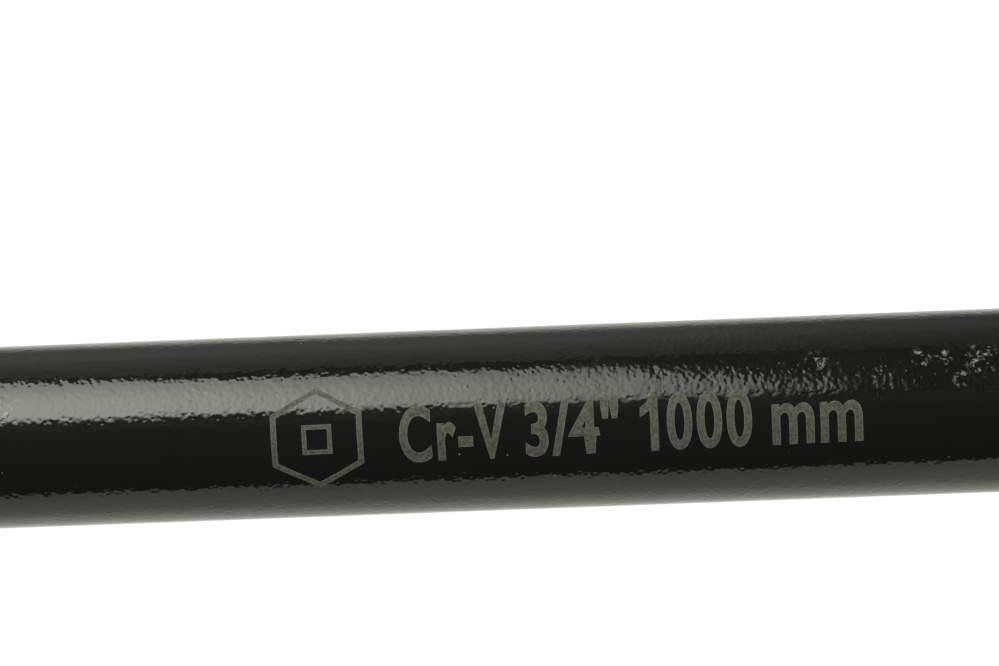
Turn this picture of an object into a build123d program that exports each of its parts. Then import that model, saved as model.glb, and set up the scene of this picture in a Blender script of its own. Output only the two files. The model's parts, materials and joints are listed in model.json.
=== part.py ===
from build123d import *
from math import sqrt
import os

# A flex-head breaker bar with a 3/4 inch square drive, lying on the flat side of its fork.
# X runs along the bar towards the drive. Z is the axis that the head swings about, and points up.
# The origin is the centre of the footprint, on the surface that the tool lies on.
# All sizes are in millimetres, and a clearance is radial unless its name says otherwise.

# Handle
overall_length = 1000.0  # end of the grip to end of the square, with the head straight
bar_diameter = 25.0
grip_length = 200.0  # knurled stretch
grip_raise = 0.3  # how far the rolled knurl stands above the bar
grip_end_gap = 34.0  # plain stretch between the knurl and the end of the bar
groove_width = 3.0  # turned groove at each end of the knurl
groove_depth = 0.8
bar_end_radius = 3.0
hang_hole_diameter = 9.0
hang_hole_inset = 17.0  # centre of the hole from the end of the bar
hang_hole_chamfer = 0.8

# Square drive with a detent ball
square_size = 19.05
square_length = 23.0  # from the collar to the end
square_corner_circle = square_size * 4 / 3  # the rounded corners lie on this circle
square_end_chamfer = 1.2
square_root_fillet = 1.0

# Tang, neck and collar of the head
tang_thickness = 17.0
tang_wall = 11.15  # around the pivot bore
tang_edge_chamfer = 0.6
neck_width = 28.0
neck_fillet = 5.0
collar_gap = 2.2  # between the ears' round ends and the collar
collar_length = 6.8
collar_step = 5.3  # how far the collar stands out past the square's corner circle
collar_chamfer = 1.5

# Pivot screw with its lock washer and nut, and the thrust washers beside the tang
pivot_diameter = 12.7
pivot_running_clearance = 0.04  # in the head
pivot_seat_clearance = 0.02  # in the ears
screw_head_overhang = 3.6
screw_head_height = 4.0
screw_edge_chamfer = 0.5
screw_hex_across_flats = 8.0
screw_hex_depth = 2.8
thread_diameter = 10.0
thread_end_gap = 0.3  # how far the thread stops short of the nut's outer face
shoulder_gap = 0.1  # between the shoulder's end and the nut, so that the nut clamps the ears
lock_washer_thickness = 1.2
lock_washer_split = 1.6
nut_overhang = 4.2  # past the thread
nut_thickness = 4.4
nut_slot_width = 3.0
nut_slot_depth = 1.6
nut_slot_length = 4.0  # in from the rim
fastener_recess = 0.4  # the screw's head and the nut lie this far below the fork's sides
recess_clearance = 0.35
washer_bore_clearance = 0.1
thrust_washer_thickness = 0.8
thrust_washer_wall = 6.5
thrust_washer_gap = 0.1  # between each washer and the tang

# Fork
ear_thickness = 12.0
ear_margin = 1.5  # how far the ears' round ends stand out past the tang
ear_edge_radius = 1.5
corner_trim = 4.6  # taken off the fork's corners by its turned outline
shoulder_length = 34.0  # from the pivot back to where the full section ends
flare_length = 38.0  # from the full section down to the bar's diameter
shank_length = 12.0  # plain round stretch up to the weld
slot_root_gap = 1.9  # between the tang and the bottom of the slot
slot_root_radius = 2.5
slot_edge_break = 0.5

# Friction plunger and its spring, behind the tang
plunger_diameter = 8.0
plunger_sliding_clearance = 0.05
plunger_length = 12.0
plunger_nose_height = 1.2
plunger_contact_gap = 0.05  # between the nose and the tang
plunger_spigot_diameter = 4.2
plunger_spigot_length = 4.0
plunger_bore_depth = 28.0
friction_wire_diameter = 1.2
friction_spring_turns = 6

# Detent ball and its spring, in the square
ball_diameter = 7.0
ball_stand_out = 1.45
ball_from_end = 10.2  # ball centre to the end of the square
ball_clearance = 0.12
ball_lip_height = 1.4  # staked edge that keeps the ball in
ball_lip_clearance = 0.2
ball_bore_depth = 14.6
detent_wire_diameter = 0.9
detent_spring_turns = 5

coil_clearance = 0.3  # between a coil and its bore
coil_end_gap = 0.05  # between a coil and the part that it presses

# Sizes and places worked out from the ones above
bar_radius = bar_diameter / 2
grip_radius = bar_radius + grip_raise
groove_radius = bar_radius - groove_depth
pivot_radius = pivot_diameter / 2
tang_radius = pivot_radius + tang_wall
ear_radius = tang_radius + ear_margin
slot_width = tang_thickness + 2 * (thrust_washer_thickness + thrust_washer_gap)
fork_width = slot_width + 2 * ear_thickness
axis_height = fork_width / 2
fork_turned_radius = sqrt(ear_radius**2 + axis_height**2) - corner_trim
corner_radius = square_corner_circle / 2
collar_radius = corner_radius + collar_step

end_x = -overall_length / 2
grip_start_x = end_x + grip_end_gap
grip_end_x = grip_start_x + grip_length
tip_x = overall_length / 2
square_start_x = tip_x - square_length
collar_start_x = square_start_x - collar_length
pivot_x = collar_start_x - collar_gap - ear_radius
slot_root_x = pivot_x - tang_radius - slot_root_gap
shoulder_x = pivot_x - shoulder_length
flare_x = shoulder_x - flare_length
weld_x = flare_x - shank_length

screw_head_top = fork_width - fastener_recess
screw_head_bottom = screw_head_top - screw_head_height
upper_seat = screw_head_bottom - lock_washer_thickness
nut_top = fastener_recess + nut_thickness
screw_head_radius = pivot_radius + screw_head_overhang
nut_radius = thread_diameter / 2 + nut_overhang

plunger_radius = plunger_diameter / 2
plunger_bore_radius = plunger_radius + plunger_sliding_clearance
plunger_tip_x = pivot_x - tang_radius - plunger_contact_gap
plunger_back_x = plunger_tip_x - plunger_length
plunger_bore_end_x = slot_root_x - plunger_bore_depth

square_top = axis_height + square_size / 2
ball_radius = ball_diameter / 2
ball_bore_radius = ball_radius + ball_clearance
ball_x = tip_x - ball_from_end
ball_height = square_top + ball_stand_out - ball_radius
ball_lip_radius = sqrt(ball_radius**2 - (ball_radius - ball_stand_out) ** 2) + ball_lip_clearance

bar_axis = Axis((0, 0, axis_height), (1, 0, 0))
swing_axis = Axis((pivot_x, 0, 0), (0, 0, 1))
ball_axis = Axis((ball_x, 0, 0), (0, 0, 1))
bar_section = Plane(origin=(0, 0, axis_height), x_dir=(1, 0, 0), z_dir=(0, -1, 0))
swing_section = Plane(origin=(pivot_x, 0, 0), x_dir=(1, 0, 0), z_dir=(0, -1, 0))
ball_section = Plane(origin=(ball_x, 0, square_top), x_dir=(1, 0, 0), z_dir=(0, -1, 0))

os.makedirs("parts", exist_ok=True)


def export(builder, name):
    """Labels a finished piece and writes it as its own STEP file."""
    builder.part.label = name
    export_step(builder.part, f"parts/{name}.step")


def coil_spring(seat, direction, length, mean_radius, wire_diameter, turns):
    """A compression spring that stands on seat, runs along direction and fills length."""
    height = length - wire_diameter
    first = Vector(seat) + Vector(direction) * (wire_diameter / 2)
    with BuildPart() as spring:
        with BuildLine() as coil:
            Helix(height / turns, height, mean_radius, center=first, direction=direction)
        with BuildSketch(Plane(origin=coil.line @ 0, z_dir=coil.line % 0)):
            Circle(wire_diameter / 2)
        sweep(path=coil.line, is_frenet=True)
    return spring


# Handle bar: drawn round stock with a rolled knurl, a groove at each end of it, and a hole to hang it by
with BuildPart() as handle_bar:
    with BuildSketch(bar_section):
        with BuildLine():
            Polyline(
                (end_x, 0),
                (end_x, bar_radius),
                (grip_start_x - groove_width, bar_radius),
                (grip_start_x - groove_width + groove_depth, groove_radius),
                (grip_start_x - groove_depth, groove_radius),
                (grip_start_x + grip_raise, grip_radius),
                (grip_end_x - grip_raise, grip_radius),
                (grip_end_x + groove_depth, groove_radius),
                (grip_end_x + groove_width - groove_depth, groove_radius),
                (grip_end_x + groove_width, bar_radius),
                (weld_x, bar_radius),
                (weld_x, 0),
                close=True,
            )
        make_face()
    revolve(axis=bar_axis)
    end_rim = handle_bar.edges().filter_by(GeomType.CIRCLE).sort_by(Axis.X)[0]
    fillet(end_rim, bar_end_radius)
    with BuildSketch(Plane((end_x + hang_hole_inset, 0, 0))):
        Circle(hang_hole_diameter / 2)
    extrude(amount=fork_width, mode=Mode.SUBTRACT)
    hole_wall = handle_bar.faces().filter_by(GeomType.CYLINDER).sort_by(lambda face: face.radius)[0]
    chamfer(hole_wall.edges().filter_by(GeomType.BSPLINE), hang_hole_chamfer)
export(handle_bar, "handle_bar")

# Fork: a forging with a turned outline, flat sides and a slot between two ears, welded to the bar
with BuildPart() as fork_yoke:
    with BuildSketch(bar_section):
        with BuildLine():
            shank = Line((weld_x, bar_radius), (flare_x, bar_radius))
            flare_middle_x = (flare_x + shoulder_x) / 2
            flare = Bezier(
                shank @ 1,
                (flare_middle_x, bar_radius),
                (flare_middle_x, fork_turned_radius),
                (shoulder_x, fork_turned_radius),
            )
            Polyline(
                flare @ 1,
                (pivot_x + ear_radius, fork_turned_radius),
                (pivot_x + ear_radius, 0),
                (weld_x, 0),
                shank @ 0,
            )
        make_face()
    revolve(axis=bar_axis)
    with BuildSketch(Plane.XY):
        with Locations((pivot_x, 0)):
            Circle(ear_radius)
        with Locations((weld_x, 0)):
            Rectangle(pivot_x - weld_x, 2 * ear_radius, align=(Align.MIN, Align.CENTER))
    extrude(amount=fork_width, mode=Mode.INTERSECT)
    outer_edges = fork_yoke.edges().filter_by_position(Axis.X, flare_x + ear_edge_radius, tip_x)
    fillet(outer_edges.filter_by(GeomType.BEZIER, reverse=True), ear_edge_radius)
    with BuildSketch(bar_section) as slot:
        with Locations((slot_root_x, 0)):
            Rectangle(tip_x - slot_root_x, slot_width, align=(Align.MIN, Align.CENTER))
        fillet(slot.vertices().group_by(Axis.X)[0], slot_root_radius)
    extrude(amount=2 * ear_radius, both=True, mode=Mode.SUBTRACT)
    chamfer(fork_yoke.edges(Select.LAST).filter_by(Axis.Y, reverse=True), slot_edge_break)
    with Locations(Plane((pivot_x, 0, fork_width))):
        CounterBoreHole(
            pivot_radius + pivot_seat_clearance,
            screw_head_radius + recess_clearance,
            fork_width - upper_seat,
            depth=axis_height,
        )
    with Locations(Plane(origin=(pivot_x, 0, 0), z_dir=(0, 0, -1))):
        CounterBoreHole(
            pivot_radius + pivot_seat_clearance,
            nut_radius + recess_clearance,
            nut_top,
            depth=axis_height,
        )
    with BuildSketch(Plane(origin=(slot_root_x, 0, axis_height), z_dir=(-1, 0, 0))):
        Circle(plunger_bore_radius)
    extrude(amount=plunger_bore_depth, mode=Mode.SUBTRACT)
export(fork_yoke, "fork_yoke")

# Drive head: tang, neck, collar and square in one piece
with BuildPart() as drive_head:
    with BuildSketch(Plane.XY.offset(axis_height - tang_thickness / 2)) as tang:
        with Locations((pivot_x, 0)):
            Circle(tang_radius)
            Rectangle(collar_start_x - pivot_x, neck_width, align=(Align.MIN, Align.CENTER))
        fillet(tang.vertices().group_by(Axis.X)[0], neck_fillet)
    extrude(amount=tang_thickness)
    cheeks = drive_head.faces().filter_by(Axis.Z)
    chamfer(cheeks.edges().group_by(Axis.X)[:-1], tang_edge_chamfer)
    with BuildSketch(bar_section):
        with BuildLine():
            Polyline(
                (collar_start_x, 0),
                (collar_start_x, collar_radius - collar_chamfer),
                (collar_start_x + collar_chamfer, collar_radius),
                (square_start_x - collar_chamfer, collar_radius),
                (square_start_x, collar_radius - collar_chamfer),
                (square_start_x, 0),
                close=True,
            )
        make_face()
    revolve(axis=bar_axis)
    with BuildSketch(Plane(origin=(square_start_x, 0, axis_height), z_dir=(1, 0, 0))):
        Rectangle(square_size, square_size)
        Circle(corner_radius, mode=Mode.INTERSECT)
    extrude(amount=square_length)
    collar_front, square_end = drive_head.faces().filter_by(Axis.X).sort_by(Axis.X)[-2:]
    chamfer(square_end.edges(), square_end_chamfer)
    fillet(collar_front.inner_wires()[0].edges(), square_root_fillet)
    with BuildSketch(Plane((pivot_x, 0, 0))):
        Circle(pivot_radius + pivot_running_clearance)
    extrude(amount=fork_width, mode=Mode.SUBTRACT)
    with BuildSketch(ball_section):
        with BuildLine():
            Polyline(
                (0, -ball_bore_depth),
                (ball_bore_radius, -ball_bore_depth),
                (ball_bore_radius, -ball_lip_height),
                (ball_lip_radius, 0),
                (ball_lip_radius, ball_lip_height),
                (0, ball_lip_height),
                close=True,
            )
        make_face()
    revolve(axis=ball_axis, mode=Mode.SUBTRACT)
export(drive_head, "drive_head")

# Pivot screw: low head with a hexagon socket, a ground shoulder, and a thread that the nut fills
with BuildPart() as pivot_screw:
    with BuildSketch(swing_section):
        with BuildLine():
            Polyline(
                (0, fastener_recess + thread_end_gap),
                (thread_diameter / 2 - screw_edge_chamfer, fastener_recess + thread_end_gap),
                (thread_diameter / 2, fastener_recess + thread_end_gap + screw_edge_chamfer),
                (thread_diameter / 2, nut_top + shoulder_gap),
                (pivot_radius - screw_edge_chamfer, nut_top + shoulder_gap),
                (pivot_radius, nut_top + shoulder_gap + screw_edge_chamfer),
                (pivot_radius, screw_head_bottom),
                (screw_head_radius, screw_head_bottom),
                (screw_head_radius, screw_head_top - screw_edge_chamfer),
                (screw_head_radius - screw_edge_chamfer, screw_head_top),
                (0, screw_head_top),
                close=True,
            )
        make_face()
    revolve(axis=swing_axis)
    with BuildSketch(Plane((pivot_x, 0, screw_head_top))):
        RegularPolygon(screw_hex_across_flats / 2, 6, major_radius=False)
    extrude(amount=-screw_hex_depth, mode=Mode.SUBTRACT)
export(pivot_screw, "pivot_screw")

# Split lock washer under the screw's head
with BuildPart() as pivot_lock_washer:
    with BuildSketch(Plane((pivot_x, 0, upper_seat))):
        Circle(screw_head_radius)
        Circle(pivot_radius + washer_bore_clearance, mode=Mode.SUBTRACT)
        Rectangle(
            lock_washer_split,
            2 * screw_head_radius,
            align=(Align.CENTER, Align.MIN),
            mode=Mode.SUBTRACT,
        )
    extrude(amount=lock_washer_thickness)
export(pivot_lock_washer, "pivot_lock_washer")

# Round nut, flush in the other ear, with two slots for a pin wrench
with BuildPart() as pivot_nut:
    with BuildSketch(Plane((pivot_x, 0, fastener_recess))):
        Circle(nut_radius)
        Circle(thread_diameter / 2, mode=Mode.SUBTRACT)
    extrude(amount=nut_thickness)
    outer_rim = pivot_nut.faces().sort_by(Axis.Z)[0].edges().sort_by(SortBy.LENGTH)[-1]
    chamfer(outer_rim, screw_edge_chamfer)
    with BuildSketch(Plane((pivot_x, 0, fastener_recess))):
        with PolarLocations(nut_radius - nut_slot_length, 2):
            Rectangle(2 * nut_slot_length, nut_slot_width, align=(Align.MIN, Align.CENTER))
    extrude(amount=nut_slot_depth, mode=Mode.SUBTRACT)
export(pivot_nut, "pivot_nut")

# Thrust washers, one on each side of the tang
lower_washer_bottom = axis_height - slot_width / 2
upper_washer_bottom = axis_height + slot_width / 2 - thrust_washer_thickness
for washer_name, washer_bottom in (
    ("thrust_washer_lower", lower_washer_bottom),
    ("thrust_washer_upper", upper_washer_bottom),
):
    with BuildPart() as thrust_washer:
        with BuildSketch(Plane((pivot_x, 0, washer_bottom))):
            Circle(pivot_radius + thrust_washer_wall)
            Circle(pivot_radius + washer_bore_clearance, mode=Mode.SUBTRACT)
        extrude(amount=thrust_washer_thickness)
    export(thrust_washer, washer_name)

# Friction plunger: a domed nose that presses on the tang, and a spigot that centres its spring
with BuildPart() as friction_plunger:
    with BuildSketch(bar_section):
        with BuildLine():
            nose_side = (plunger_tip_x - plunger_nose_height, plunger_radius)
            nose_radius = (plunger_radius**2 + plunger_nose_height**2) / (2 * plunger_nose_height)
            nose = RadiusArc(nose_side, (plunger_tip_x, 0), nose_radius)
            Polyline(
                (plunger_tip_x, 0),
                (plunger_back_x - plunger_spigot_length, 0),
                (plunger_back_x - plunger_spigot_length, plunger_spigot_diameter / 2),
                (plunger_back_x, plunger_spigot_diameter / 2),
                (plunger_back_x, plunger_radius),
                nose_side,
            )
        make_face()
    revolve(axis=bar_axis)
export(friction_plunger, "friction_plunger")

friction_spring = coil_spring(
    (plunger_bore_end_x, 0, axis_height),
    (1, 0, 0),
    plunger_back_x - plunger_bore_end_x - coil_end_gap,
    plunger_bore_radius - coil_clearance - friction_wire_diameter / 2,
    friction_wire_diameter,
    friction_spring_turns,
)
export(friction_spring, "friction_spring")

# Detent ball, which a socket presses in as it slides on
with BuildPart() as detent_ball:
    with Locations((ball_x, 0, ball_height)):
        Sphere(ball_radius)
export(detent_ball, "detent_ball")

detent_mean_radius = ball_bore_radius - coil_clearance - detent_wire_diameter / 2
detent_seat = square_top - ball_bore_depth
detent_top_turn = ball_height - sqrt((ball_radius + detent_wire_diameter / 2) ** 2 - detent_mean_radius**2)
detent_spring = coil_spring(
    (ball_x, 0, detent_seat),
    (0, 0, 1),
    detent_top_turn + detent_wire_diameter / 2 - detent_seat - coil_end_gap,
    detent_mean_radius,
    detent_wire_diameter,
    detent_spring_turns,
)
export(detent_spring, "detent_spring")
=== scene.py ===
"""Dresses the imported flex-head breaker bar: paint, knurl, size marking, springs, studio and camera.

Everything is in metres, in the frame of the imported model: X runs along the bar towards the square drive,
Z is up along the pivot that the head swings about, and the floor is at Z = 0.
"""

from __future__ import annotations

import json
import logging
import math
from dataclasses import dataclass
from enum import Enum

import bmesh
import bpy
from mathutils import Matrix, Vector


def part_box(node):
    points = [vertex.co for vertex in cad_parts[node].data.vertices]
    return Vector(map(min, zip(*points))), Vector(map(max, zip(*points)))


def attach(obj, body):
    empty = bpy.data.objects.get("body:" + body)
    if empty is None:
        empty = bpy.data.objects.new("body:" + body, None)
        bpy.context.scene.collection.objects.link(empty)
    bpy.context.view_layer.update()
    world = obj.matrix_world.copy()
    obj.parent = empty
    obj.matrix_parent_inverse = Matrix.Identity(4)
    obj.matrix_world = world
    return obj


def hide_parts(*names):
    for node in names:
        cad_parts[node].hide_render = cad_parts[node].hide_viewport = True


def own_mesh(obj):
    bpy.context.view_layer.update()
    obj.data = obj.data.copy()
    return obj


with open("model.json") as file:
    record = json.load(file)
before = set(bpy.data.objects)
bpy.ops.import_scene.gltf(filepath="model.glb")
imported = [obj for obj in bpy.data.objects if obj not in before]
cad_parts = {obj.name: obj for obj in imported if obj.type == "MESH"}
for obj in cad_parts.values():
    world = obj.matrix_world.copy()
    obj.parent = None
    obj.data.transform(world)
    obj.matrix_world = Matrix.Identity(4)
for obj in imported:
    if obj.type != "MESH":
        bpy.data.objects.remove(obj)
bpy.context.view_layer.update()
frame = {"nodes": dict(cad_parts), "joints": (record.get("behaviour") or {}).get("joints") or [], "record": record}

LOG = logging.getLogger("breaker_bar")
MM = 0.001
MICRON = 0.000001
FULL_TURN = 2 * math.pi
CREASE = math.radians(32.0)
TOUCH = 0.0001 * MM

# Where along the bar the camera looks, how far back from there the marking starts, and its lean forwards.
VIEW_X = 60.0 * MM
MARKING_LEAD = 30.9 * MM
MARKING_LEAN = math.radians(6.9)

# Scuffed spots, whose pale flecks are partly real scuffs and partly painted glints of the soft box: how far along
# the bar from the marking's start in mm, degrees from the top towards +Y, and reach in mm.
SCUFF_AND_GLINT_SPOTS = (
    (95.1, 15.5, 2.9),
    (92.3, 1.5, 1.6),
    (90.0, 17.7, 1.4),
    (86.9, 17.5, 1.7),
    (81.3, 8.2, 1.0),
    (73.3, 18.6, 1.8),
    (-35.6, 7.0, 3.6),
)

Colour = tuple[float, float, float]
Place = tuple[float, float, float]
Inputs = dict[str | int, object]


class Body(Enum):
    """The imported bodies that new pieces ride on."""

    HANDLE = "handle"
    HEAD = "head"


class Slot(Enum):
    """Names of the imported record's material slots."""

    PAINT = "black_paint"
    SPRING = "spring_steel"


@dataclass(frozen=True)
class Dots:
    """Scattered round dots. The spacing is the mean distance of the cells, of which a share hold a dot."""

    spacing: float
    radius: float
    share: float


class Signal:
    """One output of a shader node. Arithmetic on it adds Math nodes."""

    def __init__(self, wiring: Wiring, socket: bpy.types.NodeSocket) -> None:
        """Keeps the output socket and the wiring that it belongs to."""
        self.wiring = wiring
        self.socket = socket

    def _math(self, operation: str, *operands: Signal | float) -> Signal:
        """Adds one Math node.

        Args:
            operation: the Math node's operation.
            operands: what goes into its sockets, in order.

        Returns:
            The node's result.
        """
        return self.wiring.node("ShaderNodeMath", {"operation": operation}, dict(enumerate(operands)))

    def __add__(self, other: Signal | float) -> Signal:
        """Returns self + other."""
        return self._math("ADD", self, other)

    __radd__ = __add__

    def __sub__(self, other: Signal | float) -> Signal:
        """Returns self - other."""
        return self._math("SUBTRACT", self, other)

    def __rsub__(self, other: float) -> Signal:
        """Returns other - self."""
        return self._math("SUBTRACT", other, self)

    def __mul__(self, other: Signal | float) -> Signal:
        """Returns self * other."""
        return self._math("MULTIPLY", self, other)

    __rmul__ = __mul__

    def __abs__(self) -> Signal:
        """Returns the size of self without its sign."""
        return self._math("ABSOLUTE", self)

    def least(self, other: Signal | float) -> Signal:
        """Returns the smaller of two values."""
        return self._math("MINIMUM", self, other)

    def most(self, other: Signal | float) -> Signal:
        """Returns the larger of two values."""
        return self._math("MAXIMUM", self, other)

    def fade(self, start: float, end: float) -> Signal:
        """Rises smoothly from 0 to 1.

        Args:
            start: the value of self where the result is 0.
            end: the value of self where the result is 1. It may be below start.

        Returns:
            The smoothed share between the two.
        """
        reach = {"Value": self, "From Min": start, "From Max": end}
        return self.wiring.node("ShaderNodeMapRange", {"interpolation_type": "SMOOTHSTEP"}, reach)

    def also(self, output: str) -> Signal:
        """Returns another output of the same node."""
        return Signal(self.wiring, self.socket.node.outputs[output])


class Wiring:
    """Adds nodes to one shader tree and links them."""

    def __init__(self, tree: bpy.types.NodeTree) -> None:
        """Keeps the tree that the nodes go into."""
        self.tree = tree

    def node(
        self,
        kind: str,
        settings: dict[str, object] | None = None,
        inputs: Inputs | None = None,
        output: str | int = 0,
    ) -> Signal:
        """Adds a node.

        Args:
            kind: the node's type.
            settings: its properties, which are set first.
            inputs: a value or a Signal for each named or numbered socket.
            output: the output that is wanted.

        Returns:
            That output.
        """
        node = self.tree.nodes.new(kind)
        for name, value in (settings or {}).items():
            setattr(node, name, value)
        self.feed(node, inputs or {})
        return Signal(self, node.outputs[output])

    def feed(self, node: bpy.types.Node, inputs: Inputs) -> None:
        """Sets or links sockets of a node.

        Args:
            node: the node that is fed.
            inputs: a value or a Signal for each named or numbered socket.
        """
        for key, value in inputs.items():
            if isinstance(value, Signal):
                self.tree.links.new(value.socket, node.inputs[key])
            else:
                node.inputs[key].default_value = value

    def place(self, output: str = "Object") -> Signal:
        """Returns the texture coordinates."""
        return self.node("ShaderNodeTexCoord", output=output)

    def axes(self, place: Signal) -> tuple[Signal, Signal, Signal]:
        """Returns the X, Y and Z of a vector."""
        first = self.node("ShaderNodeSeparateXYZ", inputs={"Vector": place})
        return first, first.also("Y"), first.also("Z")

    def stretched(self, place: Signal, scale: Place) -> Signal:
        """Returns the coordinates, scaled along each axis."""
        return self.node("ShaderNodeMapping", inputs={"Vector": place, "Scale": scale})

    def noise(self, place: Signal, size: float, detail: float = 2.0, rough: float = 0.5) -> Signal:
        """Adds a noise pattern.

        Args:
            place: the coordinates that it follows.
            size: the width of its largest blobs.
            detail: how many finer layers it has.
            rough: how strong the finer layers are.

        Returns:
            Its value, between about 0.2 and 0.8.
        """
        inputs = {"Vector": place, "Scale": 1 / size, "Detail": detail, "Roughness": rough}
        return self.node("ShaderNodeTexNoise", inputs=inputs)

    def dots(self, place: Signal, dots: Dots) -> Signal:
        """Adds scattered round dots.

        Args:
            place: the coordinates that they follow.
            dots: their spacing, size and number.

        Returns:
            1 at the middle of a dot, falling to 0 at its edge.
        """
        cell = self.node("ShaderNodeTexVoronoi", inputs={"Vector": place, "Scale": 1 / dots.spacing})
        chance = self.node("ShaderNodeSeparateColor", inputs={"Color": cell.also("Color")})
        return cell.fade(dots.radius / dots.spacing, 0.0) * chance.fade(dots.share, 0.9 * dots.share)

    def distance(self, place: Signal, point: Place) -> Signal:
        """Returns how far the coordinates are from a point."""
        return self.node("ShaderNodeVectorMath", {"operation": "DISTANCE"}, {0: place, 1: point}, "Value")

    def blend(self, share: Signal, colour: Colour | Signal, other: Colour | Signal) -> Signal:
        """Mixes two colours.

        Args:
            share: how much of the second colour there is.
            colour: the first colour.
            other: the second colour.

        Returns:
            The mixed colour.
        """
        ends = [end if isinstance(end, Signal) else (*end, 1.0) for end in (colour, other)]
        return self.node("ShaderNodeMix", {"data_type": "RGBA"}, {0: share, 6: ends[0], 7: ends[1]}, 2)

    def relief(self, height: Signal) -> Signal:
        """Returns the normal of a surface with a relief, whose height is in metres."""
        return self.node("ShaderNodeBump", inputs={"Strength": 1.0, "Distance": 1.0, "Height": height})


@dataclass(frozen=True)
class Finish:
    """A surface finish. Its fields give the pattern's sizes, and wire() lays it out."""

    name: str

    def material(self) -> bpy.types.Material:
        """Makes the finish's material.

        Returns:
            The material, wired.
        """
        material = bpy.data.materials.new(self.name)
        material.use_nodes = True
        tree = material.node_tree
        wiring = Wiring(tree)
        wiring.feed(tree.nodes["Principled BSDF"], self.wire(wiring))
        LOG.info("finish %s", self.name)
        return material

    def wire(self, wiring: Wiring) -> Inputs:
        """Lays out the finish.

        Args:
            wiring: the material's wiring.

        Returns:
            The inputs of its Principled shader.
        """
        raise NotImplementedError


@dataclass(frozen=True, kw_only=True)
class BlackEnamel(Finish):
    """Glossy black baked enamel: orange peel, dust nibs, tiny craters, pale dust and scuffed patches, whose pale
    flecks are partly real scuffs and partly painted glints.

    A patch is its middle point and how far it reaches.
    """

    patches: tuple[tuple[Place, float], ...]
    colour: Colour = (0.0066, 0.0066, 0.0059)
    # The pale colour of dust specks, which also colours the flecks as painted glints of the lamp.
    dust_and_glint_colour: Colour = (0.30, 0.30, 0.27)
    gloss: float = 0.08
    gloss_loss: float = 0.08
    peel_size: float = 1.6 * MM
    peel_height: float = 30.0 * MICRON
    ripple_size: float = 0.65 * MM
    ripple_height: float = 28.0 * MICRON
    grain_size: float = 0.3 * MM
    grain_height: float = 4.0 * MICRON
    sag_size: float = 12.0 * MM
    sag_height: float = 160.0 * MICRON
    nibs: Dots = Dots(1.1 * MM, 0.40 * MM, 0.32)
    nib_height: float = 9.0 * MICRON
    craters: Dots = Dots(0.85 * MM, 0.36 * MM, 0.55)
    crater_depth: float = 15.0 * MICRON
    dust: Dots = Dots(2.1 * MM, 0.14 * MM, 0.18)
    haze_size: float = 22.0 * MM
    clump_size: float = 1.5 * MM
    fleck_size: float = 0.85 * MM
    fleck_height: float = 20.0 * MICRON
    fleck_roughness: float = 0.12
    # The scratch noise picks which flecks turn pale: partly scuffs and scratches, partly painted glints.
    scratch_size: float = 0.45 * MM
    scratch_and_glint_share: float = 0.6

    def wire(self, wiring: Wiring) -> Inputs:
        """Lays out the enamel.

        Args:
            wiring: the material's wiring.

        Returns:
            The inputs of its Principled shader.
        """
        place = wiring.place()
        height = wiring.noise(place, self.peel_size, 1.0) * self.peel_height
        height = height + wiring.noise(place, self.sag_size, 1.0) * self.sag_height
        for size, rise in ((self.ripple_size, self.ripple_height), (self.grain_size, self.grain_height)):
            height = height + wiring.noise(place, size, 0.0) * rise
        height = height + wiring.dots(place, self.nibs) * self.nib_height
        height = height - wiring.dots(place, self.craters) * self.crater_depth

        flecks = self._flecks(wiring, place)
        # Pale colour: real dust specks, plus flecks that are partly scuffs and partly painted highlight, glints of
        # the soft box put into the base colour.
        scratches = wiring.noise(place, self.scratch_size, 1.0).fade(0.40, 0.66) * self.scratch_and_glint_share
        pale = wiring.dots(place, self.dust).most(flecks * scratches)
        haze = wiring.noise(place, self.haze_size, 3.0, 0.6).fade(0.42, 0.72)
        return {
            "Base Color": wiring.blend(pale, self.colour, self.dust_and_glint_colour),
            "Roughness": self.gloss + haze * self.gloss_loss + flecks * self.fleck_roughness,
            "Normal": wiring.relief(height + flecks * self.fleck_height),
        }

    def _flecks(self, wiring: Wiring, place: Signal) -> Signal:
        """Finds the raised flecks in the scuffed patches, which are also coloured pale as painted glints of the
        lamp.

        Args:
            wiring: the material's wiring.
            place: the coordinates that they follow.

        Returns:
            1 on a fleck, and 0 between them and outside the patches.
        """
        flecks = wiring.noise(place, self.fleck_size, 1.0, 0.5).fade(0.46, 0.60)
        clumps = wiring.noise(place, self.clump_size, 2.0, 0.6).fade(0.42, 0.54)
        patches = [wiring.distance(place, point).fade(reach, 0.5 * reach) for point, reach in self.patches]
        inside = patches[0]
        for patch in patches[1:]:
            inside = inside.most(patch)
        return flecks * clumps * inside


@dataclass(frozen=True)
class LaserEtch(Finish):
    """Matt grey where a laser burned the enamel away, with fine scan lines and a mottled tone."""

    colour: Colour = (0.071, 0.070, 0.055)
    worn_colour: Colour = (0.027, 0.027, 0.020)
    roughness: float = 0.62
    mottle_size: float = 0.42 * MM
    scan_pitch: float = 0.09 * MM
    scan_height: float = 2.0 * MICRON

    def wire(self, wiring: Wiring) -> Inputs:
        """Lays out the etched grey.

        Args:
            wiring: the material's wiring.

        Returns:
            The inputs of its Principled shader.
        """
        place = wiring.place()
        mottle = wiring.noise(place, self.mottle_size, 3.0, 0.7).fade(0.36, 0.64)
        across = wiring.stretched(place, (1.0, 0.05, 0.05))
        scan = wiring.noise(across, self.scan_pitch, 0.0)
        return {
            "Base Color": wiring.blend(mottle, self.colour, self.worn_colour),
            "Roughness": self.roughness + mottle * 0.15,
            "Specular IOR Level": 0.35,
            "Normal": wiring.relief(scan * self.scan_height),
        }


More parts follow.
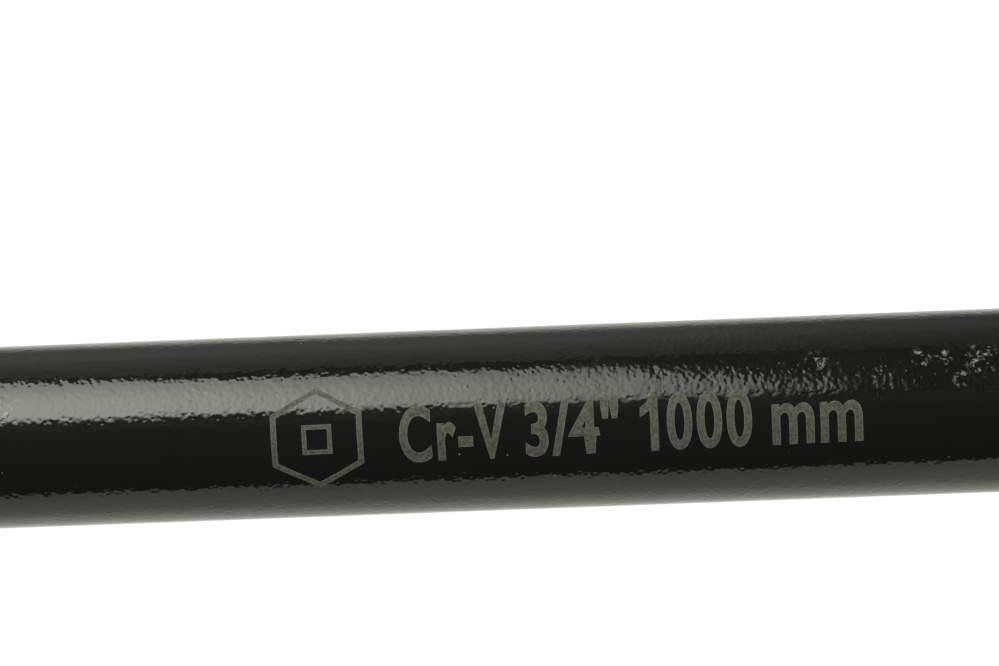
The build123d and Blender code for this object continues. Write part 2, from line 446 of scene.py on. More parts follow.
@dataclass(frozen=True, kw_only=True)
class SatinChrome(Finish):
    """Satin chrome plate over a ground forging: fine grinding lines, and bright rubs on the square."""

    square_start: float
    axis_height: float
    half_square: float
    colour: Colour = (0.62, 0.61, 0.64)
    rub_colour: Colour = (0.74, 0.73, 0.76)
    roughness: float = 0.26
    line_size: float = 0.12 * MM
    line_height: float = 1.6 * MICRON
    cloud_size: float = 9.0 * MM
    cloud_height: float = 9.0 * MICRON
    rub_size: float = 1.1 * MM
    rub_run_in: float = 2.0 * MM

    def wire(self, wiring: Wiring) -> Inputs:
        """Lays out the chrome.

        Args:
            wiring: the material's wiring.

        Returns:
            The inputs of its Principled shader.
        """
        place = wiring.place()
        along, across, up = wiring.axes(place)
        lines = wiring.noise(wiring.stretched(place, (0.06, 1.0, 1.0)), self.line_size, 2.0)
        cloud = wiring.noise(place, self.cloud_size, 3.0, 0.6).fade(0.35, 0.7)
        from_axis = abs(across).least(abs(up - self.axis_height))
        corner = from_axis.fade(0.74 * self.half_square, 0.9 * self.half_square)
        along_rub = wiring.stretched(place, (0.25, 1.0, 1.0))
        rubbed = wiring.noise(along_rub, self.rub_size, 3.0, 0.7).fade(0.45, 0.6)
        on_square = along.fade(self.square_start, self.square_start + self.rub_run_in)
        worn = on_square * (corner * 0.7 + rubbed * 0.3)
        return {
            "Base Color": wiring.blend(worn, self.colour, self.rub_colour),
            "Metallic": 1.0,
            "Roughness": self.roughness + cloud * 0.08 - worn * 0.12 + lines * 0.06,
            "Normal": wiring.relief(lines * self.line_height + cloud * self.cloud_height),
        }


@dataclass(frozen=True)
class WorkedSteel(Finish):
    """Machined steel with turning marks around an upright axis, oil haze and small scratches."""

    colour: Colour = (0.5, 0.5, 0.48)
    stain_colour: Colour = (0.35, 0.34, 0.31)
    roughness: float = 0.3
    hub: Place | Vector = (0.0, 0.0, 0.0)
    turning_pitch: float = 0.25 * MM
    turning_height: float = 1.5 * MICRON
    stain_size: float = 3.5 * MM
    scratch_size: float = 0.2 * MM
    scratch_depth: float = 1.5 * MICRON

    def wire(self, wiring: Wiring) -> Inputs:
        """Lays out the steel.

        Args:
            wiring: the material's wiring.

        Returns:
            The inputs of its Principled shader.
        """
        place = wiring.place()
        flat = wiring.stretched(place, (1.0, 1.0, 0.0))
        radius = wiring.distance(flat, (self.hub[0], self.hub[1], 0.0))
        rings = {"W": radius, "Scale": 1 / self.turning_pitch}
        turns = wiring.node("ShaderNodeTexNoise", {"noise_dimensions": "1D"}, rings)
        stain = wiring.noise(place, self.stain_size, 4.0, 0.65).fade(0.42, 0.72)
        lengthwise = wiring.stretched(place, (1.0, 0.05, 0.4))
        scratch = wiring.noise(lengthwise, self.scratch_size, 1.0).fade(0.62, 0.72)
        return {
            "Base Color": wiring.blend(stain, self.colour, self.stain_colour),
            "Metallic": 1.0,
            "Roughness": self.roughness + stain * 0.14 + scratch * 0.1,
            "Normal": wiring.relief(turns * self.turning_height - scratch * self.scratch_depth),
        }


@dataclass(frozen=True)
class FloorPaper(Finish):
    """Pale matt paper, so thin that only a faint shadow shows on it."""

    colour: Colour = (0.86, 0.86, 0.86)
    cover: float = 0.08

    def wire(self, wiring: Wiring) -> Inputs:
        """Lays out the paper.

        Args:
            wiring: the material's wiring.

        Returns:
            The inputs of its Principled shader.
        """
        return {
            "Base Color": (*self.colour, 1.0),
            "Roughness": 0.9,
            "Specular IOR Level": 0.0,
            "Alpha": self.cover,
        }


@dataclass(frozen=True, kw_only=True)
class LampCloth(Finish):
    """The soft box's cloth: brightest at the left, and cut off along a slant towards its right end."""

    target: Vector
    tilt: float
    colour: Colour = (0.985, 1.0, 0.905)
    strength: float = 6.8

    def wire(self, wiring: Wiring) -> Inputs:
        """Lays out the light of the cloth, in metres from the point above the target.

        Args:
            wiring: the material's wiring.

        Returns:
            The inputs of its Principled shader.
        """
        from_target = {"Vector": wiring.place(), "Location": -self.target}
        turn_back = {
            "Vector": wiring.node("ShaderNodeMapping", inputs=from_target),
            "Rotation": (-self.tilt, 0.0, 0.0),
        }
        along, across, _ = wiring.axes(wiring.node("ShaderNodeMapping", inputs=turn_back))
        slant = (along + 0.008).most(0.0) * 2.1 + (along - 0.04).most(0.0) * 2.3
        flare = (-0.12 - along).most(0.0) * 0.8
        far_edge = (across + slant - flare).fade(0.240, 0.205)
        near_edge = across.fade(-0.345, -0.235)
        right_end = along.fade(0.20, -0.05) * along.fade(0.125, 0.09)
        to_left = 0.67 + along.fade(-0.01, -0.21) * 0.35
        to_near = 1.0 - across.fade(-0.1, 0.3) * 0.42
        level = right_end * to_left * near_edge * to_near * far_edge
        return {
            "Base Color": (0.0, 0.0, 0.0, 1.0),
            "Specular IOR Level": 0.0,
            "Emission Color": wiring.blend(level, (0.0, 0.0, 0.0), self.colour),
            "Emission Strength": self.strength,
        }


class Shape:
    """A bmesh that is shaped by operators, and then becomes a piece."""

    def __init__(self) -> None:
        """Starts empty."""
        self.mesh = bmesh.new()

    def spin_outline(self, outline: list[Vector], centre: Vector, axis: Vector, steps: int) -> None:
        """Turns an open outline into a closed round body.

        Args:
            outline: the points of the outline, from one pole to the other.
            centre: a point on the axis.
            axis: the axis that it is turned about.
            steps: how many flat strips go round.
        """
        verts = [self.mesh.verts.new(point) for point in outline]
        for start, end in zip(verts, verts[1:]):
            self.mesh.edges.new((start, end))
        bmesh.ops.spin(
            self.mesh,
            geom=self.mesh.verts[:] + self.mesh.edges[:],
            cent=centre,
            axis=axis,
            dvec=(0.0, 0.0, 0.0),
            angle=FULL_TURN,
            steps=steps,
            use_merge=True,
        )
        self.close()

    def close(self, distance: float = TOUCH) -> None:
        """Merges doubles and points the faces outwards."""
        bmesh.ops.remove_doubles(self.mesh, verts=self.mesh.verts[:], dist=distance)
        bmesh.ops.recalc_face_normals(self.mesh, faces=self.mesh.faces[:])

    def open_edges(self) -> list[bmesh.types.BMEdge]:
        """Returns the edges that have one face."""
        return [edge for edge in self.mesh.edges if edge.is_boundary]

    def bend(self, radius: float, axis_height: float, turn: float = 0.0) -> None:
        """Rolls a flat sheet round the bar. Its Y becomes the way round and its Z the height above radius.

        Args:
            radius: the radius at which Y keeps its length.
            axis_height: the height of the bar's axis.
            turn: the angle from straight up, towards -Y, at which Y is 0.
        """
        for vert in self.mesh.verts:
            angle = turn - vert.co.y / radius
            reach = radius + vert.co.z
            vert.co.y = -reach * math.sin(angle)
            vert.co.z = axis_height + reach * math.cos(angle)

    def piece(self, name: str, material: bpy.types.Material, sharp_from: float = CREASE) -> bpy.types.Object:
        """Makes the shape a piece, which is smooth except at its sharp edges.

        Args:
            name: the piece's name.
            material: its material.
            sharp_from: the angle from which an edge is sharp.

        Returns:
            The piece's object, which stands at the origin.
        """
        data = bpy.data.meshes.new(name)
        self.mesh.to_mesh(data)
        self.mesh.free()
        data.materials.append(material)
        data.shade_smooth()
        data.set_sharp_from_angle(angle=sharp_from)
        made = bpy.data.objects.new(name, data)
        bpy.context.scene.collection.objects.link(made)
        LOG.info("piece %s: %d faces", name, len(data.polygons))
        return made


@dataclass
class HandleBar:
    """The round bar: rounded end with a hole to hang it by, grooves, rolled knurl, and plain shank."""

    end_x: float
    weld_x: float
    axis_height: float
    radius: float = 12.5 * MM
    end_radius: float = 3.0 * MM
    end_arc_steps: int = 8
    end_face_share: float = 0.97
    grip_gap: float = 34.0 * MM
    grip_length: float = 200.0 * MM
    grip_radius: float = 12.8 * MM
    groove_width: float = 3.0 * MM
    groove_depth: float = 0.8 * MM
    hole_inset: float = 17.0 * MM
    hole_radius: float = 4.5 * MM
    hole_chamfer: float = 0.8 * MM
    steps_round: int = 256
    hole_steps: int = 72
    diamonds_round: int = 50
    diamond_length: float = 2.5 * MM
    diamond_height: float = 0.36 * MM
    diamond_slope: float = 0.45 * MM
    diamond_crease: float = math.radians(20.0)
    core_gap: float = 0.12 * MM

    def build(self, enamel: bpy.types.Material) -> None:
        """Builds the bar and its knurl.

        Args:
            enamel: the bar's finish.
        """
        shaft = self._shaft(enamel)
        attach(shaft, Body.HANDLE.value)
        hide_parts("handle_bar")
        knurl = self._knurl(enamel)
        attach(knurl, Body.HANDLE.value)

    @property
    def grip_start(self) -> float:
        """Returns where the knurl starts."""
        return self.end_x + self.grip_gap

    @property
    def core_radius(self) -> float:
        """Returns the bar's radius under the knurl."""
        return self.grip_radius - self.diamond_height - self.core_gap

    def surface_point(self, x: float, turn: float) -> Place:
        """Returns the point of the bar's surface at an angle from straight up, towards +Y."""
        return (x, self.radius * math.sin(turn), self.axis_height + self.radius * math.cos(turn))

    def _outline(self) -> list[Vector]:
        """Lays out the bar's outline, from the middle of its free end to the middle of its welded end.

        Returns:
            The outline's points. The second one keeps the shading of the end face flat.
        """
        arc_x = self.end_x + self.end_radius
        arc_height = self.radius - self.end_radius
        turns = [i / self.end_arc_steps * math.pi / 2 for i in range(self.end_arc_steps + 1)]
        rounded = [
            (arc_x - self.end_radius * math.cos(turn), arc_height + self.end_radius * math.sin(turn))
            for turn in turns
        ]
        floor = self.radius - self.groove_depth
        rise = self.core_radius - floor
        first = self.grip_start
        last = first + self.grip_length
        points = [
            (self.end_x, 0.0),
            (self.end_x, self.end_face_share * arc_height),
            *rounded,
            (first - self.groove_width, self.radius),
            (first - self.groove_width + self.groove_depth, floor),
            (first - rise, floor),
            (first, self.core_radius),
            (last, self.core_radius),
            (last + rise, floor),
            (last + self.groove_width - self.groove_depth, floor),
            (last + self.groove_width, self.radius),
            (self.weld_x, self.radius),
            (self.weld_x, 0.0),
        ]
        return [Vector((x, 0.0, self.axis_height + reach)) for x, reach in points]

    def _shaft(self, enamel: bpy.types.Material) -> bpy.types.Object:
        """Builds the turned bar and cuts the hole in its end.

        Args:
            enamel: its finish.

        Returns:
            The piece.
        """
        shape = Shape()
        centre = Vector((0.0, 0.0, self.axis_height))
        shape.spin_outline(self._outline(), centre, Vector((1.0, 0.0, 0.0)), self.steps_round)
        shaft = shape.piece("bar_shaft", enamel)
        cutter = self._hole_cutter(enamel)
        cut = shaft.modifiers.new("hang_hole", "BOOLEAN")
        cut.operation = "DIFFERENCE"
        cut.solver = "EXACT"
        cut.object = cutter
        cut_mesh = evaluated_mesh(shaft)
        shaft.modifiers.clear()
        shaft.data = cut_mesh
        bpy.data.objects.remove(cutter)
        cut_mesh.set_sharp_from_angle(angle=CREASE)
        return shaft

    def _hole_cutter(self, enamel: bpy.types.Material) -> bpy.types.Object:
        """Builds the hole's cutter, which flares along the bar's saddle-shaped surface at both ends.

        Args:
            enamel: the finish that the hole's wall takes.

        Returns:
            The cutter's object.
        """
        shape = Shape()
        mesh = shape.mesh
        centre = Vector((self.end_x + self.hole_inset, 0.0, self.axis_height))
        place = Matrix.Translation(centre)
        bmesh.ops.create_circle(mesh, segments=self.hole_steps, radius=self.hole_radius, matrix=place)
        edges = mesh.edges[:]
        chamfer_start = (0.0, -1.0)
        chamfer_end = (2.0, 1.0)
        for wider, above in (chamfer_start, chamfer_end):
            made = bmesh.ops.extrude_edge_only(mesh, edges=edges)["geom"]
            edges = [item for item in made if isinstance(item, bmesh.types.BMEdge) and item.is_boundary]
            for vert in verts_among(made):
                outward = (vert.co - centre).xy.normalized()
                reach = self.hole_radius + wider * self.hole_chamfer
                vert.co.xy = centre.xy + outward * reach
                surface = math.sqrt(self.radius**2 - vert.co.y**2)
                vert.co.z = self.axis_height + surface + above * self.hole_chamfer
        bmesh.ops.holes_fill(mesh, edges=edges)
        upper = mesh.verts[:] + mesh.edges[:] + mesh.faces[:]
        middle = Matrix.Translation(-centre)
        bmesh.ops.mirror(mesh, geom=upper, matrix=middle, merge_dist=0.0, axis="Z")
        shape.close()
        return shape.piece("hole_cutter", enamel)

    def _knurl(self, enamel: bpy.types.Material) -> bpy.types.Object:
        """Builds the sleeve of raised diamonds.

        Args:
            enamel: its finish.

        Returns:
            The piece.
        """
        shape = Shape()
        mesh = shape.mesh
        base = self.grip_radius - self.diamond_height
        width = FULL_TURN * base / self.diamonds_round
        rows = round(self.grip_length / self.diamond_length)
        length = self.grip_length / rows
        cells = 2 * math.ceil((rows + self.diamonds_round) / 2) + 2
        bmesh.ops.create_grid(mesh, x_segments=cells, y_segments=cells, size=cells / 2)
        half_diamond = Matrix.Diagonal((length / 2, width / 2, 1.0, 1.0))
        lattice = half_diamond @ Matrix(((1, 1, 0, 0), (1, -1, 0, 0), (0, 0, 1, 0), (0, 0, 0, 1)))
        bmesh.ops.transform(mesh, matrix=lattice, verts=mesh.verts[:])
        half_round = width * self.diamonds_round / 2
        for normal, reach in (((1, 0, 0), self.grip_length / 2), ((0, 1, 0), half_round)):
            for side in (-1, 1):
                facing = Vector(normal) * side
                bmesh.ops.bisect_plane(
                    mesh,
                    geom=mesh.verts[:] + mesh.edges[:] + mesh.faces[:],
                    dist=0.001 * MM,
                    plane_co=facing * reach,
                    plane_no=facing,
                    clear_outer=True,
                )
        shape.bend(base, self.axis_height)
        middle = Matrix.Translation((self.grip_start + self.grip_length / 2, 0.0, 0.0))
        bmesh.ops.transform(mesh, matrix=middle, verts=mesh.verts[:])
        shape.close(0.01 * MM)
        self._heal_seam(mesh)
        diamonds = [face for face in mesh.faces if len(face.verts) == 4]
        bmesh.ops.inset_individual(
            mesh,
            faces=diamonds,
            thickness=self.diamond_slope,
            depth=self.diamond_height,
            use_even_offset=True,
        )
        self._line_sleeve(shape)
        shape.close()
        return shape.piece("grip_knurl", enamel, sharp_from=self.diamond_crease)

    def _heal_seam(self, mesh: bmesh.types.BMesh) -> None:
        """Joins the half diamonds that meet where the rolled sheet's edges came together.

        Args:
            mesh: the rolled sheet.
        """
        below = self.axis_height - 0.9 * self.radius
        seam = [
            edge
            for edge in mesh.edges
            if len(edge.link_faces) == 2
            and all(len(face.verts) == 3 for face in edge.link_faces)
            and all(vert.co.z < below and abs(vert.co.y) < 0.01 * MM for vert in edge.verts)
        ]
        bmesh.ops.dissolve_edges(mesh, edges=seam, use_verts=False)

    def _line_sleeve(self, shape: Shape) -> None:
        """Closes the knurl's inside, so that it is a solid sleeve.

        Args:
            shape: the knurl, open at both ends.
        """
        mesh = shape.mesh
        inner = self.core_radius - self.core_gap
        made = bmesh.ops.extrude_edge_only(mesh, edges=shape.open_edges())["geom"]
        for vert in verts_among(made):
            outward = Vector((vert.co.y, vert.co.z - self.axis_height)).normalized() * inner
            vert.co.y = outward.x
            vert.co.z = self.axis_height + outward.y
        bmesh.ops.bridge_loops(mesh, edges=shape.open_edges())


@dataclass(frozen=True)
class Word:
    """One word: its letters, place, size and spacing, and what each side of a stroke gains."""

    text: str
    start: float
    width: float
    height: float
    spacing: float = 1.1
    stroke: float = 0.2 * MM


@dataclass
class SizeMarking:
    """The etched row on the bar: a socket pictogram, the steel, the drive size and the length.

    Each mark has a fill and a paler rim, where the laser turned.
    """

    start_x: float
    radius: float
    axis_height: float
    facing: float
    fill: bpy.types.Material
    rim: bpy.types.Material
    tilt: float = math.radians(0.75)
    proud: float = 0.012 * MM
    depth: float = 0.05 * MM
    pictogram_size: float = 14.0 * MM
    pictogram_line: float = 0.85 * MM
    rim_width: float = 0.08 * MM
    strip: float = 0.5 * MM
    curve_steps: int = 6
    sharpest_mitre: float = 0.4
    one_start: float = 49.7 * MM
    one_outline: tuple[tuple[float, float], ...] = (
        (1.3 * MM, 0.0),
        (2.4 * MM, 0.0),
        (2.4 * MM, 7.7 * MM),
        (1.6 * MM, 7.7 * MM),
        (0.9 * MM, 6.6 * MM),
        (0.0, 5.9 * MM),
        (0.0, 4.7 * MM),
        (0.7 * MM, 5.05 * MM),
        (1.3 * MM, 5.5 * MM),
    )
    words: tuple[Word, ...] = (
        Word("Cr-V", 17.9 * MM, 14.2 * MM, 7.7 * MM, 1.16, 0.22 * MM),
        Word('3/4"', 34.5 * MM, 12.4 * MM, 7.7 * MM, 1.08, 0.22 * MM),
        Word("000", 53.2 * MM, 11.2 * MM, 7.7 * MM, 1.16, 0.18 * MM),
        Word("mm", 67.0 * MM, 11.9 * MM, 5.55 * MM, 1.06, 0.18 * MM),
    )

    def build(self) -> None:
        """Builds the pictogram, the first numeral of the length and the words."""
        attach(self._pictogram(), Body.HANDLE.value)
        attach(self._one(), Body.HANDLE.value)
        for number, word in enumerate(self.words, start=1):
            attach(self._word(word, number), Body.HANDLE.value)

    def _wrap(self, shape: Shape, name: str) -> bpy.types.Object:
        """Lays a flat mark on the bar, with a paler rim.

        Args:
            shape: the mark, flat, in its place along the row and with its middle height at Y = 0.
            name: the piece's name.

        Returns:
            The piece.
        """
        mesh = shape.mesh
        rim = bmesh.ops.inset_region(
            mesh, faces=mesh.faces[:], thickness=self.rim_width, use_even_offset=False, use_boundary=True
        )["faces"]
        for face in rim:
            face.material_index = 1
        turn = Matrix.Translation((self.start_x, 0.0, 0.0)) @ Matrix.Rotation(self.tilt, 4, "Z")
        bmesh.ops.transform(mesh, matrix=turn, verts=mesh.verts[:])
        cuts = math.ceil(self.pictogram_size / self.strip)
        for cut in range(-cuts, cuts + 1):
            bmesh.ops.bisect_plane(
                mesh,
                geom=mesh.verts[:] + mesh.edges[:] + mesh.faces[:],
                dist=TOUCH,
                plane_co=(0.0, cut * self.strip, 0.0),
                plane_no=(0.0, 1.0, 0.0),
            )
        lifted = verts_among(bmesh.ops.extrude_face_region(mesh, geom=mesh.faces[:])["geom"])
        bmesh.ops.translate(mesh, verts=mesh.verts[:], vec=(0.0, 0.0, self.proud - self.depth))
        bmesh.ops.translate(mesh, verts=lifted, vec=(0.0, 0.0, self.depth))
        bmesh.ops.recalc_face_normals(mesh, faces=mesh.faces[:])
        shape.bend(self.radius, self.axis_height, self.facing)
        mark = shape.piece(name, self.fill)
        mark.data.materials.append(self.rim)
        return mark

    def _pictogram(self) -> bpy.types.Object:
        """Builds the outline of a hexagon with a small square in it.

        Returns:
            The piece.
        """
        shape = Shape()
        mesh = shape.mesh
        middle = Matrix.Translation((self.pictogram_size / 2, 0.0, 0.0))
        for sides, size, start in ((6, 0.5, 0.0), (4, 0.2, math.pi / 4)):
            place = middle @ Matrix.Rotation(start, 4, "Z")
            radius = self.pictogram_size * size
            bmesh.ops.create_circle(mesh, cap_ends=True, segments=sides, radius=radius, matrix=place)
        made = bmesh.ops.inset_individual(mesh, faces=mesh.faces[:], thickness=self.pictogram_line)
        rims = set(made["faces"])
        bmesh.ops.delete(mesh, geom=[face for face in mesh.faces if face not in rims], context="FACES_ONLY")
        return self._wrap(shape, "marking_pictogram")

    def _one(self) -> bpy.types.Object:
        """Builds the first numeral of the length, with a plain flag.

        Returns:
            The piece.
        """
        shape = Shape()
        mesh = shape.mesh
        low = -max(each.height for each in self.words) / 2
        mesh.faces.new([mesh.verts.new((self.one_start + x, low + y, 0.0)) for x, y in self.one_outline])
        return self._wrap(shape, "marking_one")

    def _word(self, word: Word, number: int) -> bpy.types.Object:
        """Builds one word in plain condensed letters.

        Args:
            word: what it says and where it stands.
            number: its place in the row.

        Returns:
            The piece.
        """
        curve = bpy.data.curves.new("letters", "FONT")
        curve.body = word.text
        curve.resolution_u = self.curve_steps
        curve.space_character = word.spacing
        letters = bpy.data.objects.new("letters", curve)
        bpy.context.scene.collection.objects.link(letters)
        flat = evaluated_mesh(letters)
        bpy.data.objects.remove(letters)
        shape = Shape()
        mesh = shape.mesh
        mesh.from_mesh(flat)
        bmesh.ops.remove_doubles(mesh, verts=mesh.verts[:], dist=0.0001)
        mesh.normal_update()
        self._fit(mesh, word)
        self._embolden(shape, word.stroke)
        return self._wrap(shape, f"marking_word_{number}")

    def _fit(self, mesh: bmesh.types.BMesh, word: Word) -> None:
        """Scales letters to a word's width and height, and leaves room for the wider strokes.

        Args:
            mesh: the letters.
            word: the size that they get.
        """
        low, high = (
            Vector((pick(v.co.x for v in mesh.verts), pick(v.co.y for v in mesh.verts), 0.0))
            for pick in (min, max)
        )
        wide = (word.width - 2 * word.stroke) / (high.x - low.x)
        tall = (word.height - 2 * word.stroke) / (high.y - low.y)
        cap_height = max(each.height for each in self.words)
        place = Matrix.Translation((word.start + word.stroke, word.stroke - cap_height / 2, 0.0))
        size = Matrix.Diagonal((wide, tall, 1.0, 1.0))
        bmesh.ops.transform(mesh, matrix=place @ size @ Matrix.Translation(-low), verts=mesh.verts[:])

    def _embolden(self, shape: Shape, reach: float) -> None:
        """Moves every outline outwards, with mitred corners that are kept from growing spikes.

        Args:
            shape: the flat letters.
            reach: how far it moves.
        """
        shifts: dict[bmesh.types.BMVert, Vector] = {}
        for edge in shape.open_edges():
            corner = edge.link_loops[0]
            along = corner.link_loop_next.vert.co - corner.vert.co
            outward = along.cross(corner.face.normal).normalized()
            for vert in edge.verts:
                shifts[vert] = shifts.get(vert, Vector()) + outward
        for vert, shift in shifts.items():
            mitre = max(shift.length_squared / 2, self.sharpest_mitre)
            vert.co += shift / mitre * reach


@dataclass
class CoilSpring:
    """A compression spring with a closed coil at each end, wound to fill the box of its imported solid."""

    name: str
    node: str
    body: Body
    joint: str
    direction: Vector
    wire_radius: float
    active_turns: float
    closed_turns: float = 1.0
    steps_per_turn: int = 40
    wire_steps: int = 14

    def build(self, steel: bpy.types.Material) -> None:
        """Builds the coil.

        Args:
            steel: its finish.
        """
        low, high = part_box(self.node)
        length = (high - low).dot(self.direction)
        seat = (low + high - length * self.direction) / 2
        mean_radius = (high.y - low.y) / 2 - self.wire_radius
        shape = Shape()
        mesh = shape.mesh
        side = self.direction.orthogonal().normalized()
        start = seat + self.direction * self.wire_radius + side * mean_radius
        facing = self.direction.cross(side).to_track_quat("Z", "Y").to_matrix().to_4x4()
        place = Matrix.Translation(start) @ facing
        bmesh.ops.create_circle(mesh, segments=self.wire_steps, radius=self.wire_radius, matrix=place)
        closed_pitch = 2.03 * self.wire_radius
        rise = length - 2 * self.wire_radius - 2 * closed_pitch
        closed = (self.closed_turns, closed_pitch)
        active = (self.active_turns, rise / self.active_turns)
        grown: list = mesh.verts[:] + mesh.edges[:]
        for turns, pitch in (closed, active, closed):
            steps = round(turns * self.steps_per_turn)
            grown = bmesh.ops.spin(
                mesh,
                geom=grown,
                cent=seat,
                axis=self.direction,
                dvec=self.direction * (turns * pitch / steps),
                angle=turns * FULL_TURN,
                steps=steps,
            )["geom_last"]
        bmesh.ops.holes_fill(mesh, edges=shape.open_edges())
        shape.close()
        spring = shape.piece(self.name, steel)
        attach(spring, self.body.value)
        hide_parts(self.node)
        keep = 1 - travel(self.joint) / length
        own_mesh(spring)


@dataclass
class DriveEnd:
    """The fork, the head and their hardware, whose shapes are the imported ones."""

    finishes: dict[str, bpy.types.Material]

    def dress(self) -> None:
        """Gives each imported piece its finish."""
        for node, material in self.finishes.items():
            for slot in frame["nodes"][node].material_slots:
                slot.material = material
            LOG.info("dressed %s in %s", node, material.name)


@dataclass
class Studio:
    """A pale floor, a bright surround, a soft light above and behind, and the camera."""

    target: Vector
    elevation: float = math.radians(77.0)
    yaw: float = math.radians(1.4)
    roll: float = math.radians(2.2)
    distance: float = 323.2 * MM
    above_axis: float = 11.75 * MM
    lens: float = 85.0
    sensor: float = 36.0
    near_clip: float = 10.0 * MM
    far_clip: float = 100.0
    box_length: float = 1.3
    box_width: float = 0.76
    box_end: float = 0.20
    box_distance: float = 0.62
    box_tilt: float = math.radians(-33.0)
    side_light_size: float = 1.2
    side_lights: tuple[tuple[str, Place, float], ...] = (
        ("light_right", (2.2, -1.4, 1.6), 46.0),
        ("light_left", (-2.4, -1.0, 1.5), 24.0),
        ("light_behind", (2.2, 2.2, 1.2), 30.0),
    )
    floor_size: float = 24.0
    seen_strength: float = 1.06
    room_tint: Colour = (0.97, 1.0, 0.89)

    def build(self) -> None:
        """Sets up the floor, the surround, the lights and the camera."""
        self._floor()
        self._surround()
        self._lights()
        self._camera()
        bpy.context.scene.view_settings.view_transform = "Standard"

    def _floor(self) -> None:
        """Lays the pale floor."""
        shape = Shape()
        bmesh.ops.create_grid(shape.mesh, x_segments=1, y_segments=1, size=self.floor_size / 2)
        shape.piece("floor", FloorPaper("pale_floor").material())

    def _surround(self) -> None:
        """Makes the world white to the eye, and lit as a studio is for everything else."""
        world = bpy.data.worlds.new("surround")
        bpy.context.scene.world = world
        world.use_nodes = True
        wiring = Wiring(world.node_tree)
        level = self._room_level(wiring)
        seen = wiring.node("ShaderNodeLightPath", output="Is Camera Ray")
        strength = seen * self.seen_strength + level * (1 - seen)
        tint = wiring.blend(seen, self.room_tint, (1.0, 1.0, 1.0))
        background = world.node_tree.nodes["Background"]
        wiring.feed(background, {"Color": tint, "Strength": strength})

    def _room_level(self, wiring: Wiring) -> Signal:
        """Lays out how bright the room is in each direction: dim in front, and pale behind and below.

        Args:
            wiring: the world's wiring.

        Returns:
            The level, from 0 to 1.
        """
        along, away, up = wiring.axes(wiring.place("Generated"))
        behind = away.fade(-0.25, 0.25)
        below = up.fade(0.02, -0.02)
        far_wall = 0.44 - up.fade(0.02, 0.38) * 0.14
        far_floor = 0.42 - up.fade(-0.12, -0.5) * 0.20
        to_left = 0.58 + along.fade(0.15, 0.0) * 0.42
        far = (far_wall + below * (far_floor - far_wall)) * to_left
        near = 0.02 + below * 0.75
        level = near + behind * (far - near)
        return level + up.fade(-0.50, -0.80) * (1.0 - level)

    def _lights(self) -> None:
        """Hangs a long soft box above and behind the bar, and weaker lights around it."""
        self._soft_box()
        for name, offset, power in self.side_lights:
            self._side_light(name, Vector(offset), power)

    def _soft_box(self) -> None:
        """Hangs the soft box, which faces the target."""
        shape = Shape()
        bmesh.ops.create_grid(shape.mesh, x_segments=1, y_segments=1, size=1.0)
        size = Matrix.Diagonal((self.box_length / 2, self.box_width / 2, 1.0, 1.0))
        middle = Matrix.Translation((self.box_end - self.box_length / 2, 0.0, 0.0))
        tilt = Matrix.Rotation(self.box_tilt, 4, "X")
        away = Matrix.Translation((0.0, 0.0, self.box_distance))
        place = Matrix.Translation(self.target) @ tilt @ away @ middle @ size
        bmesh.ops.transform(shape.mesh, matrix=place, verts=shape.mesh.verts[:])
        bmesh.ops.reverse_faces(shape.mesh, faces=shape.mesh.faces[:])
        cloth = LampCloth("soft_box_cloth", target=self.target, tilt=self.box_tilt)
        box = shape.piece("soft_box", cloth.material())
        box.visible_camera = False

    def _side_light(self, name: str, offset: Vector, power: float) -> None:
        """Adds a square area light that faces the target.

        Args:
            name: the light's name.
            offset: where it stands from the target.
            power: its power in watts.
        """
        light = bpy.data.lights.new(name, "AREA")
        light.size = self.side_light_size
        light.energy = power
        made = bpy.data.objects.new(name, light)
        made.rotation_euler = offset.to_track_quat("Z", "Y").to_euler()
        made.location = self.target + offset
        made.visible_camera = False
        bpy.context.scene.collection.objects.link(made)

    def _camera(self) -> None:
        """Sets up the camera, above the bar and square to it but for a slight yaw and roll."""
        back = Vector((0.0, -math.cos(self.elevation), math.sin(self.elevation)))
        up = Vector((0.0, math.sin(self.elevation), math.cos(self.elevation)))
        right = Vector((1.0, 0.0, 0.0))
        back, right = (
            back * math.cos(self.yaw) + right * math.sin(self.yaw),
            right * math.cos(self.yaw) - back * math.sin(self.yaw),
        )
        right, up = (
            right * math.cos(self.roll) - up * math.sin(self.roll),
            up * math.cos(self.roll) + right * math.sin(self.roll),
        )
        data = bpy.data.cameras.new("camera")
        data.lens = self.lens
        data.sensor_width = self.sensor
        data.clip_start = self.near_clip
        data.clip_end = self.far_clip
        camera = bpy.data.objects.new("camera", data)
        bpy.context.scene.collection.objects.link(camera)
        location = self.target + up * self.above_axis + back * self.distance
        turned = Matrix((right, up, back)).transposed().to_4x4()
        camera.matrix_world = Matrix.Translation(location) @ turned
        bpy.context.scene.camera = camera


def evaluated_mesh(source: bpy.types.Object) -> bpy.types.Mesh:
    """Returns a new mesh of an object with its modifiers or its text worked out."""
    return bpy.data.meshes.new_from_object(source.evaluated_get(bpy.context.evaluated_depsgraph_get()))


def verts_among(made: list) -> list[bmesh.types.BMVert]:
    """Returns the vertices among the things that an operator made."""
    return [item for item in made if isinstance(item, bmesh.types.BMVert)]


def joint(name: str) -> dict:
    """Returns a packed joint by its name."""
    return next(each for each in frame["joints"] if each["name"] == name)


def mount(name: str) -> Vector:
    """Returns the place of a packed mount."""
    return Vector(next(each["pos_m"] for each in frame["record"]["mounts"] if each["name"] == name))


def travel(name: str) -> float:
    """Returns how far a sliding joint moves back from rest."""
    return -min(joint(name)["range_m"])


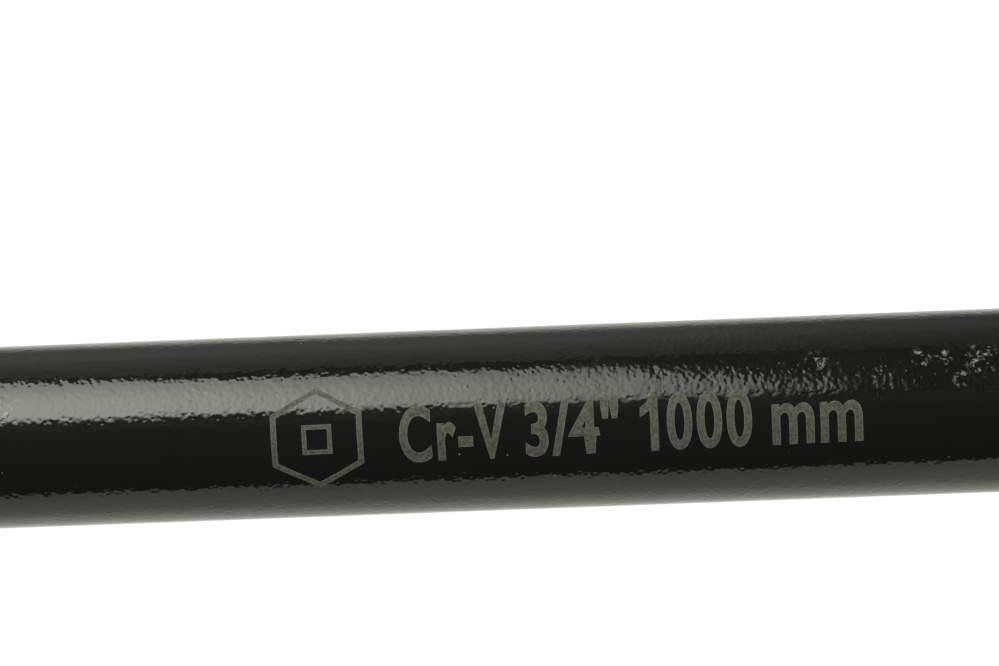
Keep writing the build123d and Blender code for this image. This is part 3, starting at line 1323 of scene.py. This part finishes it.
def springs() -> list[CoilSpring]:
    """Lays out the springs of the plunger and the detent ball.

    Returns:
        Both springs.
    """
    along = Vector((1.0, 0.0, 0.0))
    up = Vector((0.0, 0.0, 1.0))
    return [
        CoilSpring("friction_coil", "friction_spring", Body.HANDLE, "plunger_press", along, 0.6 * MM, 4.5),
        CoilSpring("detent_coil", "detent_spring", Body.HEAD, "detent_press", up, 0.45 * MM, 3.5),
    ]


def main() -> None:
    """Builds the finishes, the bar, its marking, the springs, the drive end and the studio."""
    logging.basicConfig(level=logging.INFO, format="%(name)s: %(message)s")
    pivot = Vector(joint("head_swing")["pos_m"])
    bar_low, bar_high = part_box("handle_bar")
    studio = Studio(target=Vector((VIEW_X, 0.0, pivot.z)))
    bar = HandleBar(end_x=bar_low.x, weld_x=bar_high.x, axis_height=pivot.z)
    marking_start = studio.target.x - MARKING_LEAD

    # Spots of scuffs and painted glints, laid on the bar's surface: their pale flecks are partly painted
    # highlight.
    scuff_and_glint_spots = tuple(
        (bar.surface_point(marking_start + along * MM, math.radians(turn)), reach * MM)
        for along, turn, reach in SCUFF_AND_GLINT_SPOTS
    )
    enamel = BlackEnamel("black_enamel", patches=scuff_and_glint_spots).material()
    etch = LaserEtch("laser_etch").material()
    rim = LaserEtch(
        "laser_etch_rim", colour=(0.112, 0.109, 0.084), worn_colour=(0.078, 0.076, 0.058)
    ).material()
    chrome = SatinChrome(
        "chrome_plate",
        square_start=mount("drive_square").x,
        axis_height=pivot.z,
        half_square=abs(mount("square_side").y),
    ).material()
    oxide = WorkedSteel(
        "black_oxide",
        hub=pivot,
        colour=(0.07, 0.07, 0.075),
        stain_colour=(0.035, 0.03, 0.028),
        roughness=0.34,
    ).material()
    zinc = WorkedSteel("zinc_plate", hub=pivot, colour=(0.52, 0.52, 0.5)).material()
    ground = WorkedSteel(
        "bright_steel", hub=pivot, colour=(0.6, 0.6, 0.59), stain_colour=(0.5, 0.49, 0.47), roughness=0.14
    ).material()
    wire = WorkedSteel(
        "spring_wire", colour=(0.24, 0.24, 0.25), stain_colour=(0.13, 0.11, 0.09), roughness=0.32
    ).material()

    bar.build(enamel)
    SizeMarking(
        start_x=marking_start,
        radius=bar.radius,
        axis_height=pivot.z,
        facing=math.pi / 2 - studio.elevation + MARKING_LEAN,
        fill=etch,
        rim=rim,
    ).build()
    for spring in springs():
        spring.build(wire)
    DriveEnd(
        {
            "fork_yoke": enamel,
            "drive_head": chrome,
            "pivot_screw": oxide,
            "pivot_nut": oxide,
            "pivot_lock_washer": zinc,
            "thrust_washer_lower": zinc,
            "thrust_washer_upper": zinc,
            "friction_plunger": ground,
            "detent_ball": ground,
        }
    ).dress()
    studio.build()


if __name__ == "__main__":
    main()
